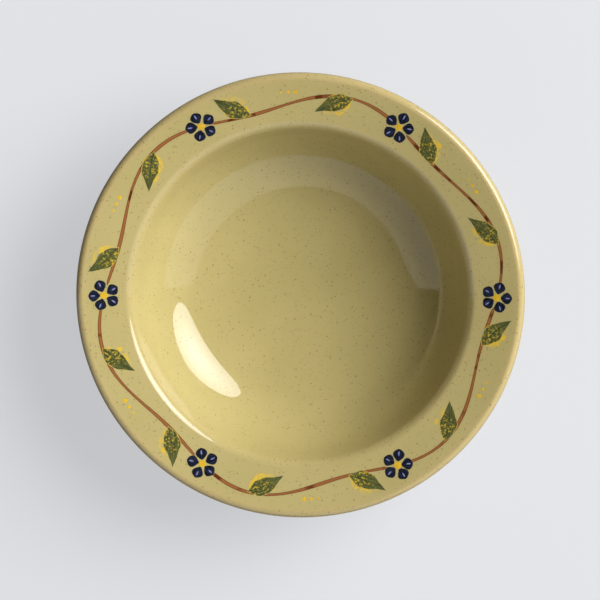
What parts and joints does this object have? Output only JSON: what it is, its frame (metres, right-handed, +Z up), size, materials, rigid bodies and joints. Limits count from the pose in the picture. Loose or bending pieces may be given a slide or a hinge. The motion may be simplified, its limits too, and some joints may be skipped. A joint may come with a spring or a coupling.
{
  "type": "soup bowl",
  "caption": "Rimmed stoneware soup bowl: a deep round well with a flared rim and a foot ring, glazed inside and out, with a painted garland of flowers and leaves on the rim.",
  "frame": {"origin": "centre of the foot ring, on the surface that the bowl stands on", "axes": "+Z up along the bowl's axis; +X through one of the painted flowers"},
  "size_m": [0.23, 0.23, 0.0567],
  "materials": {
    "stoneware": "matte",
    "glaze": "gloss",
    "brown_paint": "gloss",
    "green_paint": "gloss",
    "dark_green_paint": "gloss",
    "yellow_paint": "gloss",
    "navy_paint": "gloss",
    "lilac_paint": "gloss"
  },
  "bodies": {
    "root": {"clay_body": "stoneware", "inner_glaze": "glaze", "outer_glaze": "glaze", "base_glaze": "glaze", "painted_stem": "brown_paint", "painted_leaves": "green_paint", "leaf_veins": "dark_green_paint", "leaf_underpaint": "yellow_paint", "flower_petals": "navy_paint", "petal_highlights": "lilac_paint", "flower_centres": "yellow_paint", "seed_dots": "yellow_paint"}
  },
  "joints": []
}
